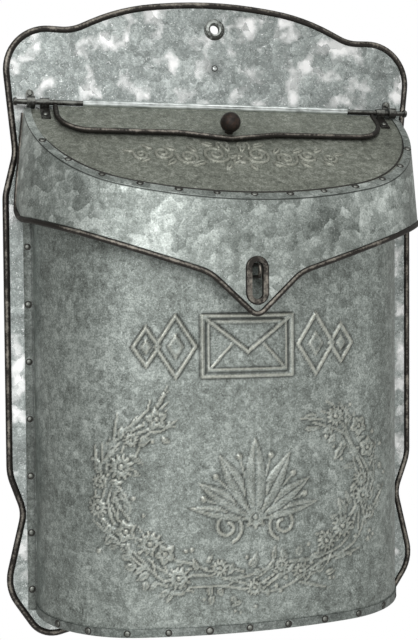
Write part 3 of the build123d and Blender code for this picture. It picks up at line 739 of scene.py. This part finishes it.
def sprig(x, z, root):
    """Symmetrical spray of long leaves over two curled fronds."""
    height = np.zeros_like(x)
    side = np.abs(x - root[0])
    centre = (0, root[1])
    for angle, reach, half in ((10, 40, 4.2), (32, 40, 5.2), (60, 43, 5.6), (90, 47, 6.4)):
        made, distance = leaf_height(side, z, centre, radians(angle), reach, half, 0.5)
        veins = 0.9 + 0.1 * np.cos((side * cos(radians(angle + 50)) + z * sin(radians(angle + 50))) * 3.4)
        height = np.where(distance < 0.4, np.maximum(made * veins, height * 0.35), height)
    for angle, reach in ((21, 33), (46, 34), (75, 37)):
        tip = (reach * cos(radians(angle)), root[1] + reach * sin(radians(angle)))
        stalk = stem_height(side, z, [centre, tip], 0.6)
        bud = np.hypot(side - tip[0], z - tip[1]) - 1.9
        height = np.maximum(height, np.maximum(stalk * 0.5, dome(bud, 1.6) * 0.9))
    curl = []
    for k in range(30):
        t = k / 29
        turn = radians(250) - t * radians(500)
        reach = 9.5 * (1 - 0.75 * t)
        curl.append((17 + reach * cos(turn), root[1] - 5 + reach * sin(turn)))
    height = np.maximum(height, 0.85 * stem_height(side, z, curl, 1.1))
    return np.maximum(height, flower_height(x, z, root, 7.5, pi / 2, 8))


def spiral(middle, radius, start, turns):
    """Points of a spiral winding inwards to a fifth of its radius."""
    inner = 0.2
    points = []
    for k in range(26):
        t = k / 25
        angle = start + turns * t * 2 * pi
        reach = radius * (1 - t * (1 - inner))
        points.append((middle[0] + reach * cos(angle), middle[1] + reach * sin(angle)))
    return points


def scrollwork(x, z):
    """Symmetrical leaf scrolls for the lid, about 130 mm across."""
    height = np.zeros_like(x)
    side = np.abs(x)
    for middle, radius, start, turns in (
        ((13, 1), 8.5, pi, 1.6), (
            (30, -2), 7.0, 0.2, -1.5
        ), ((45, 1), 5.6, pi, 1.4), ((58, -1), 4.4, 0.2, -1.4),
        ((6, 10), 4.2, -0.6, 1.3),
    ):
        height = np.maximum(height, 0.95 * stem_height(side, z, spiral(middle, radius, start, turns), 1.15))
    for root, angle, reach, half in (
        ((4, 4), 75, 10, 2.6), ((12, 9), 20, 9, 2.2), ((20, -6), -25, 10, 2.4), ((24, 3), 50, 8, 2.0),
        ((36, 4), 25, 9, 2.1), ((38, -5), -40, 8, 2.0), ((50, 5), 30, 8, 1.8), ((53, -4), -30, 7, 1.6),
        ((61, 2), 10, 8, 1.5), ((6, -8), -60, 7, 2.0),
    ):
        made, _ = leaf_height(side, z, root, radians(angle), reach, half)
        height = np.maximum(height, made)
    return np.maximum(height, flower_height(x, z, (0, -3), 6.0, pi / 2))


def shade_marks(height, step):
    """Hollow and ridge masks from a height map: painted shade in the sunk borders and on steep sides, and
    the crests, rubbed and given a painted highlight.
    """
    blurred = height.copy()
    for _ in range(4):
        blurred[1:-1, 1:-1] = (
            blurred[1:-1, 1:-1] * 4 + blurred[:-2, 1:-1] + blurred[2:, 1:-1]
            + blurred[1:-1, :-2] + blurred[1:-1, 2:]
        ) / 8
    slope_z, slope_x = np.gradient(height, step)
    steep = np.hypot(slope_x, slope_z)
    hollow_shade = np.clip((blurred - height) * 3.4, 0, 1)
    ridge = np.clip((height - blurred) * 3.2, 0, 1)
    return np.clip(hollow_shade + np.clip(steep - 0.9, 0, 1) * 0.15, 0, 0.85), ridge


# Pieces.
def bowed_parts(plan):
    """Half turn of a bowed front, its half run, a corner's run, and where the straight sides start."""
    half_width, nose_y, front_radius, corner_radius = plan
    turn = asin((half_width - corner_radius) / (front_radius - corner_radius))
    side_y = nose_y + front_radius - (front_radius - corner_radius) * cos(turn)
    return turn, front_radius * turn, corner_radius * (pi / 2 - turn), side_y


def bowed_station(plan, run):
    """Place and outward way in plan at a run from the middle of a bowed front with rounded corners."""
    half_width, nose_y, front_radius, corner_radius = plan
    turn, front_run, corner_run, side_y = bowed_parts(plan)
    side = 1 if run >= 0 else -1
    run = abs(run)
    if run <= front_run:
        angle = run / front_radius
        x = front_radius * sin(angle)
        y = nose_y + front_radius * (1 - cos(angle))
    elif run <= front_run + corner_run:
        angle = turn + (run - front_run) / corner_radius
        x = (front_radius - corner_radius) * sin(turn) + corner_radius * sin(angle)
        y = side_y - corner_radius * cos(angle)
    else:
        angle = pi / 2
        x = half_width
        y = side_y + run - front_run - corner_run
    return side * x, y, (side * sin(angle), -cos(angle))


def box_outline(step):
    """Outside of the letter box in plan, from its left flange to its right: points, outward ways, runs."""
    _, front_run, corner_run, side_y = bowed_parts(BODY_PLAN)
    wall_run = front_run + corner_run + (BODY_PLAN[1] + BODY_DEPTH - side_y - SHEET)
    fine = int(np.ceil(PRESSED_HALF_RUN / step))
    pressed = np.linspace(0, PRESSED_HALF_RUN, fine, endpoint=False)
    plain = np.linspace(PRESSED_HALF_RUN, wall_run - FOLD_RUN, 24)
    runs = np.concatenate([pressed, plain, [wall_run]])
    stations = [bowed_station(BODY_PLAN, run) for run in runs]
    points = [(x, y) for x, y, _ in stations] + [(FLANGE_FOLD_X, FLANGE_Y), (FLANGE_EDGE_X, FLANGE_Y)]
    ways = [way for _, _, way in stations] + [(0.35, -0.94), (0.0, -1.0)]
    points, ways = np.array(points), np.array(ways)
    runs = np.concatenate([runs, [wall_run + 0.0009, wall_run + 0.006]])
    return (
        np.concatenate([points[:0:-1] * (-1, 1), points]),
        np.concatenate([ways[:0:-1] * (-1, 1), ways]),
        np.concatenate([-runs[:0:-1], runs]),
    )


def mouth_height(y):
    """Top of the letter box wall at a distance from the wall plane, under the sloping lid."""
    return np.minimum(ROD_Z - LID_STACK / cos(SLOPE) + (y - ROD_Y) * np.tan(SLOPE), ROD_Z - MOUTH_DROP)


def box_levels(points, runs, step):
    """Heights of the letter box grid: close rows where it is pressed, then rows that climb to the mouth."""
    low, high = ROD_Z - PRESSED_BOTTOM_DROP, ROD_Z - PRESSED_TOP_DROP
    plain = np.linspace(ROD_Z - BODY_DROP + SHEET, low, 4, endpoint=False)
    pressed = np.arange(low, high, step)
    tops = mouth_height(points[:, 1])
    wall_run = abs(runs[2])
    tops[np.abs(runs) > wall_run - 0.0001] = ROD_Z - FLANGE_DROP
    share = np.linspace(0, 1, 14)[:, None]
    rows = np.tile(np.concatenate([plain, pressed])[:, None], (1, len(runs)))
    return np.concatenate([rows, high * (1 - share) + tops * share])


def pressed_front(x, z, size):
    """Height of all the pressed work on the front, fading out at its top and bottom."""
    height = badge(x, z, -146.5, size.badge_height / MM)
    height = np.maximum(height, wreath(x, z, (-1.5, -231.0), (81.0, 55.0), size.seed))
    height = np.maximum(height, sprig(x, z, (4.0, -247.0)))
    level = ROD_Z + z * MM
    from_low = np.clip((level - ROD_Z + PRESSED_BOTTOM_DROP) / (2 * MM), 0, 1)
    to_high = np.clip((ROD_Z - PRESSED_TOP_DROP - level) / (2 * MM), 0, 1)
    return height * from_low * to_high


def dents(x, z):
    """Slow hand made unevenness of the sheet, none at its edges, in millimetres."""
    height = 0.25 * np.sin(x * 0.041 + 0.6) * np.sin(z * 0.033 + 1.1)
    height = height + 0.12 * np.sin(x * 0.11) * np.sin(z * 0.09 + 2)
    from_side = np.clip(1 - np.abs(x) / 130, 0, 1)
    return height * from_side * np.clip((z + 312) / 12, 0, 1) * np.clip(-(z + 40) / 30, 0, 1)


class MAILBOX_OT_letter_box(bpy.types.Operator):
    """Build the pressed front of the letter box"""

    bl_idname = "mailbox.letter_box"
    bl_label = "Letter box"

    def execute(self, context):
        size = sizes()
        step = size.relief_step
        points, ways, runs = box_outline(step)
        levels = box_levels(points, runs, step)
        x = np.tile(runs / MM, (len(levels), 1))
        z = (levels - ROD_Z) / MM
        height = pressed_front(x, z, size)
        hollow_shade, ridge = shade_marks(height, step / MM)
        # Painted shade along the fold of the flange.
        hollow_shade[:, np.isclose(np.abs(points[:, 0]), FLANGE_FOLD_X)] = 0.75
        lift = height * size.relief_height + dents(x, z) * MM
        base = np.dstack(
            [np.broadcast_to(points[:, 0], z.shape), np.broadcast_to(points[:, 1], z.shape), levels]
        )
        push = np.dstack(
            [np.broadcast_to(ways[:, 0], z.shape), np.broadcast_to(ways[:, 1], z.shape), z * 0]
        )
        outer = base + push * lift[..., None]
        inner = base + push * (lift[..., None] - SHEET)
        mesh = grid_solid("letter_box_front", outer, inner)
        # The inside face gets a weaker copy of the painted shade.
        float_attribute(mesh, "hollow_shade", np.concatenate([hollow_shade.ravel(), hollow_shade.ravel() * 0.3]))
        float_attribute(mesh, "ridge", np.concatenate([ridge.ravel(), ridge.ravel() * 0]))
        box = link("letter_box_front", mesh)
        paint(box, "Galvanised pressed")
        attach(box, "box")
        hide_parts("body_wrap")
        return {"FINISHED"}


class MAILBOX_OT_lid_scroll(bpy.types.Operator):
    """Press the leaf scrolls into the lid's top"""

    bl_idname = "mailbox.lid_scroll"
    bl_label = "Lid scroll"

    def execute(self, context):
        step, half_width, half_depth, from_rod = 0.6, 72, 17, 55.0
        proud, sunk, wall = 1.4, 0.12, 0.5
        u = np.arange(-half_width, half_width + step, step)
        v = np.arange(-half_depth, half_depth + step, step)
        x, z = np.meshgrid(u, v)
        fade = np.clip((half_width - np.abs(x)) / 3, 0, 1) * np.clip((half_depth - np.abs(z)) / 2, 0, 1)
        height = scrollwork(x, z * 0.82) * fade
        hollow_shade, ridge = shade_marks(height, step)
        down, out = np.array(LID_DOWN), np.array(LID_OUT)
        origin = np.array([0, ROD_Y, ROD_Z]) + down * from_rod * MM - out * LID_PANEL_LEVEL * MM
        right = np.array([1.0, 0, 0])
        flat = origin + (x[..., None] * right - z[..., None] * down) * MM
        outer = flat + (height[..., None] * proud - sunk) * MM * out
        inner = flat - wall * MM * out
        mesh = grid_solid("lid_scroll", outer, inner)
        float_attribute(mesh, "hollow_shade", np.concatenate([hollow_shade.ravel(), hollow_shade.ravel() * 0]))
        float_attribute(mesh, "ridge", np.concatenate([ridge.ravel(), ridge.ravel() * 0]))
        scroll = link("lid_scroll", mesh)
        paint(scroll, "Galvanised rubbed")
        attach(scroll, "lid")
        return {"FINISHED"}


def rivet_nodes():
    """Node group that sets a domed rivet with a dark ring at its foot at each station."""
    group = bpy.data.node_groups.new("Rivets on stations", "GeometryNodeTree")
    sockets = {}
    for name, kind in (
        ("Stations", "NodeSocketGeometry"), ("Radius", "NodeSocketFloat"), ("Height", "NodeSocketFloat"),
        ("Seed", "NodeSocketInt"), ("Head finish", "NodeSocketMaterial"), (
            "Ring finish", "NodeSocketMaterial"
        ),
    ):
        sockets[name] = group.interface.new_socket(name, in_out="INPUT", socket_type=kind).identifier
    group.interface.new_socket("Rivets", in_out="OUTPUT", socket_type="NodeSocketGeometry")
    given = node(group, "NodeGroupInput").outputs
    ball = node(group, "GeometryNodeMeshUVSphere", {"Segments": 20, "Rings": 12, "Radius": 1.0})
    flatten = node(
        group, "ShaderNodeCombineXYZ", {0: given["Radius"], 1: given["Radius"], 2: given["Height"]}
    )
    head = node(group, "GeometryNodeTransform", {"Geometry": ball.outputs[0], "Scale": flatten.outputs[0]})
    head = node(group, "GeometryNodeSetShadeSmooth", {0: head.outputs[0]})
    head = node(group, "GeometryNodeSetMaterial", {0: head.outputs[0], "Material": given["Head finish"]})
    wide = node(group, "ShaderNodeMath", {0: given["Radius"], 1: 1.3}, operation="MULTIPLY")
    rim = node(group, "GeometryNodeMeshCylinder", {"Vertices": 20, "Radius": wide, "Depth": 0.24 * MM})
    rim = node(
        group, "GeometryNodeSetMaterial", {0: rim.outputs["Mesh"], "Material": given["Ring finish"]}
    )
    whole = node(group, "GeometryNodeJoinGeometry")
    group.links.new(head.outputs[0], whole.inputs[0])
    group.links.new(rim.outputs[0], whole.inputs[0])
    outward = node(group, "GeometryNodeInputNamedAttribute", {"Name": "outward"}, data_type="FLOAT_VECTOR")
    turn = node(group, "FunctionNodeAlignRotationToVector", {"Vector": outward.outputs[0]}, axis="Z")
    wobble = node(
        group, "FunctionNodeRandomValue", {2: 0.92, 3: 1.08, "Seed": given["Seed"]}, data_type="FLOAT"
    )
    placed = node(
        group, "GeometryNodeInstanceOnPoints",
        {"Points": given["Stations"], "Instance": whole.outputs[0], "Rotation": turn.outputs[0],
         "Scale": wobble.outputs[1]},
    )
    real = node(group, "GeometryNodeRealizeInstances", {0: placed.outputs[0]})
    node(group, "NodeGroupOutput", {0: real.outputs[0]})
    return group, sockets


def set_rivets(name, stations, body, replaced="", radius=None, head="Dull rivet steel"):
    """Plain mesh of rivets at stations given as (place, outward) pairs."""
    size = sizes()
    mesh = bpy.data.meshes.new(name)
    mesh.from_pydata([place for place, _ in stations], [], [])
    outward = mesh.attributes.new("outward", "FLOAT_VECTOR", "POINT")
    outward.data.foreach_set("vector", [value for _, way in stations for value in way])
    holder = link(name, mesh)
    group, sockets = rivet_nodes()
    modifier = holder.modifiers.new("Rivets", "NODES")
    modifier.node_group = group
    for label, value in (
        ("Radius", radius or size.rivet_radius), ("Height", size.rivet_height), ("Seed", size.seed),
        ("Head finish", finish_named(head)), ("Ring finish", finish_named("Seam grime")),
    ):
        modifier[sockets[label]] = value
    placed = holder.evaluated_get(bpy.context.evaluated_depsgraph_get())
    plain = bpy.data.meshes.new_from_object(placed)
    holder.modifiers.clear()
    holder.data = plain
    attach(holder, body)
    if replaced:
        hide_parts(replaced)


def on_lid(x, y, level):
    """Point on the lid in metres, from a place in plan and a level out from the rod's plane."""
    reach = (ROD_Y / MM - y) / cos(SLOPE)
    return (
        x * MM,
        ROD_Y + (reach * LID_DOWN[1] + level * LID_OUT[1]) * MM,
        ROD_Z + (reach * LID_DOWN[2] + level * LID_OUT[2]) * MM,
    )


class MAILBOX_OT_seam_line(bpy.types.Operator):
    """Lay the line of old solder and dirt where the lid's top meets its riveted strip"""

    bl_idname = "mailbox.seam_line"
    bl_label = "Seam line"

    def execute(self, context):
        half_run, width, levels = 152, 1.0, (-3.18, -3.5)
        runs = np.linspace(-half_run, half_run, 160)
        half_width, nose_y, front_radius, corner_radius = SEAM_LINE_PLAN
        grids = []
        for level in levels:
            rows = []
            for inset in (0.0, width):
                plan = (half_width - inset, nose_y + inset, front_radius - inset, corner_radius - inset)
                rows.append([on_lid(*bowed_station(plan, run)[:2], level) for run in runs])
            grids.append(np.array(rows))
        line = link("seam_line", grid_solid("seam_line", grids[0][::-1], grids[1][::-1]))
        paint(line, "Seam grime")
        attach(line, "lid")
        return {"FINISHED"}


class MAILBOX_OT_rivets(bpy.types.Operator):
    """Set the small rivets of the pan, the flanges and the lid seam"""

    bl_idname = "mailbox.rivets"
    bl_label = "Rivets"

    def execute(self, context):
        pan, flange, seam = [], [], []
        pan_pitch, flange_pitch, seam_pitch = 24, 0.0355, 21.5
        flange_x, flange_y, flange_top = 0.120, -3.4 * MM, -0.103
        pan_drop, seam_level = 0.3121, -2.4
        for index in range(11):
            x, y, way = bowed_station(PAN_RIVET_PLAN, (index - 5) * pan_pitch)
            pan.append(((x * MM, y * MM, ROD_Z - pan_drop), (*way, 0)))
        for index in range(8):
            for side in (-1, 1):
                flange.append(((side * flange_x, flange_y, flange_top - flange_pitch * index), (0, -1, 0)))
        for index in range(13):
            x, y, _ = bowed_station(SEAM_RIVET_PLAN, (index - 6) * seam_pitch)
            seam.append((on_lid(x, y, seam_level), LID_OUT))
        set_rivets("pan_rivets", pan, "box", "bottom_rivets")
        set_rivets("flange_rivets", flange, "box", "wrap_flange_rivets")
        set_rivets("seam_rivets", seam, "lid", "lid_seam_rivets")
        set_rivets("plate_dimple", [(DIMPLE, (0, -1, 0))], "box", radius=1.5 * MM, head="Bright zinc plate")
        return {"FINISHED"}


CAD_FINISHES = {
    "Galvanised bright": ("back_plate",),
    "Galvanised apron": ("lid_fascia",),
    "Galvanised rubbed": ("lid_top_panel", "mail_flap"),
    "Galvanised shaded": ("bottom_pan", "mouth_hem", "staple_backing", "body_wrap"),
    "Aged rolled edge": (
        "back_plate_edge_wire", "lid_edge_wire", "mail_flap_edge_wire", "hasp_slot_rim", "hasp_staple"
    ),
    "Dark strap steel": (
        "hinge_rod", "hinge_strap_left", "hinge_strap_right", "rod_end_cap_left", "rod_end_cap_right",
        "lid_hinge_tab_left", "lid_hinge_tab_right",
    ),
    "Dull rivet steel": (
        "bottom_rivets", "wrap_flange_rivets", "strap_rivets", "lid_seam_rivets", "lid_tab_rivets",
        "knob_screw",
    ),
    "Eyelet zinc": ("hanging_eyelet",),
    "Bright zinc plate": ("flap_hinge_tube",),
    "Rusted iron": ("flap_knob",),
}


class MAILBOX_OT_finishes(bpy.types.Operator):
    """Give every CAD piece its finish"""

    bl_idname = "mailbox.finishes"
    bl_label = "Finishes"

    def execute(self, context):
        for finish, names in CAD_FINISHES.items():
            for name in names:
                paint(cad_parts[name], finish)
        return {"FINISHED"}


def pale_world(scene):
    """White all round as seen by the camera, with a softer light cast on the object."""
    world = bpy.data.worlds.new("Pale studio")
    world.use_nodes = True
    tree = world.node_tree
    tree.nodes.clear()
    path = node(tree, "ShaderNodeLightPath").outputs["Is Camera Ray"]
    seen = node(tree, "ShaderNodeBackground", {"Color": (1, 1, 1, 1), "Strength": 1.0})
    cast = node(tree, "ShaderNodeBackground", {"Color": (1.0, 1.0, 0.96, 1), "Strength": 0.36})
    both = node(tree, "ShaderNodeMixShader", {0: path, 1: cast.outputs[0], 2: seen.outputs[0]})
    node(tree, "ShaderNodeOutputWorld", {"Surface": both.outputs[0]})
    scene.world = world


def pale_floor():
    """A matt floor well below the box, which stops behind it so that no horizon shows."""
    wide, back, low = 3, 1.2, -1.2
    mesh = bpy.data.meshes.new("floor")
    corners = [(-wide, -wide, low), (wide, -wide, low), (wide, back, low), (-wide, back, low)]
    mesh.from_pydata(corners, [], [(0, 1, 2, 3)])
    floor = link("floor", mesh)
    pale, tree, shader = new_material("Pale floor")
    feed(tree, shader, {"Base Color": linear("#f4f4f2"), "Roughness": 0.9})
    feed(tree, shader, {"Emission Color": (1, 1, 1, 1), "Emission Strength": 0.3})
    floor.data.materials.append(pale)


def softboxes():
    """Four soft lights, each as name, place, width, height and watts, aimed at the box's middle."""
    target = Vector((0, -0.03, -0.18))
    for name, place, width, tall, power in (
        ("Key softbox", (-0.75, -1.5, 0.55), 0.9, 0.9, 13),
        ("Front fill", (0.1, -1.9, -0.2), 1.4, 1.4, 6),
        ("Top strip", (0.2, -0.55, 1.1), 1.0, 0.5, 4),
        ("Right fill", (1.4, -0.6, 0.1), 0.7, 1.2, 2),
    ):
        light = bpy.data.lights.new(name, "AREA")
        light.shape = "RECTANGLE"
        light.size, light.size_y, light.energy = width, tall, power
        lamp = link(name, light)
        lamp.location = place
        lamp.rotation_euler = (target - Vector(place)).to_track_quat("-Z", "Y").to_euler()


def front_camera():
    """Camera a little left of the box, level with its middle and turned towards it."""
    stand = (-0.1717, -0.6699, -0.159)
    yaw, pitch, roll = radians(14.03), radians(2.2), radians(-0.43)
    forward = Vector((sin(yaw) * cos(pitch), cos(yaw) * cos(pitch), -sin(pitch)))
    level = Vector((cos(yaw), -sin(yaw), 0))
    up = level.cross(forward)
    right = level * cos(roll) + up * sin(roll)
    upright = up * cos(roll) - level * sin(roll)
    lens = bpy.data.cameras.new("Camera")
    lens.lens = 60.08
    lens.sensor_width = 36
    camera = link("Camera", lens)
    turn = Matrix((right, upright, -forward)).transposed().to_4x4()
    camera.matrix_world = Matrix.Translation(stand) @ turn
    return camera


class MAILBOX_OT_stage(bpy.types.Operator):
    """Set up the floor, the lights and the camera"""

    bl_idname = "mailbox.stage"
    bl_label = "Stage"

    def execute(self, context):
        context.scene.view_settings.view_transform = "Standard"
        pale_world(context.scene)
        pale_floor()
        softboxes()
        context.scene.camera = front_camera()
        return {"FINISHED"}


class MAILBOX_PT_panel(bpy.types.Panel):
    """Sidebar panel with the mailbox's settings and steps"""

    bl_label = "Wall Mailbox"
    bl_idname = "MAILBOX_PT_panel"
    bl_space_type = "VIEW_3D"
    bl_region_type = "UI"
    bl_category = "Mailbox"

    def draw(self, context):
        for group in (context.scene.mailbox_sizes, context.scene.mailbox_colours):
            for key in group.__annotations__:
                self.layout.prop(group, key)
        for operator in OPERATORS:
            self.layout.operator(operator.bl_idname)


OPERATORS = (
    MAILBOX_OT_finishes, MAILBOX_OT_letter_box, MAILBOX_OT_lid_scroll, MAILBOX_OT_seam_line,
    MAILBOX_OT_rivets, MAILBOX_OT_stage,
)
CLASSES = (MailboxSizes, MailboxColours, *OPERATORS, MAILBOX_PT_panel)


def register():
    """Add the settings, the operators and the panel."""
    for cls in CLASSES:
        bpy.utils.register_class(cls)
    bpy.types.Scene.mailbox_sizes = bpy.props.PointerProperty(type=MailboxSizes)
    bpy.types.Scene.mailbox_colours = bpy.props.PointerProperty(type=MailboxColours)


def unregister():
    """Take them away again."""
    del bpy.types.Scene.mailbox_colours
    del bpy.types.Scene.mailbox_sizes
    for cls in reversed(CLASSES):
        bpy.utils.unregister_class(cls)


def main():
    """Build everything in order."""
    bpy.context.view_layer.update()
    register()
    for operator in OPERATORS:
        group, step = operator.bl_idname.split(".")
        getattr(getattr(bpy.ops, group), step)()


if __name__ == "__main__":
    main()
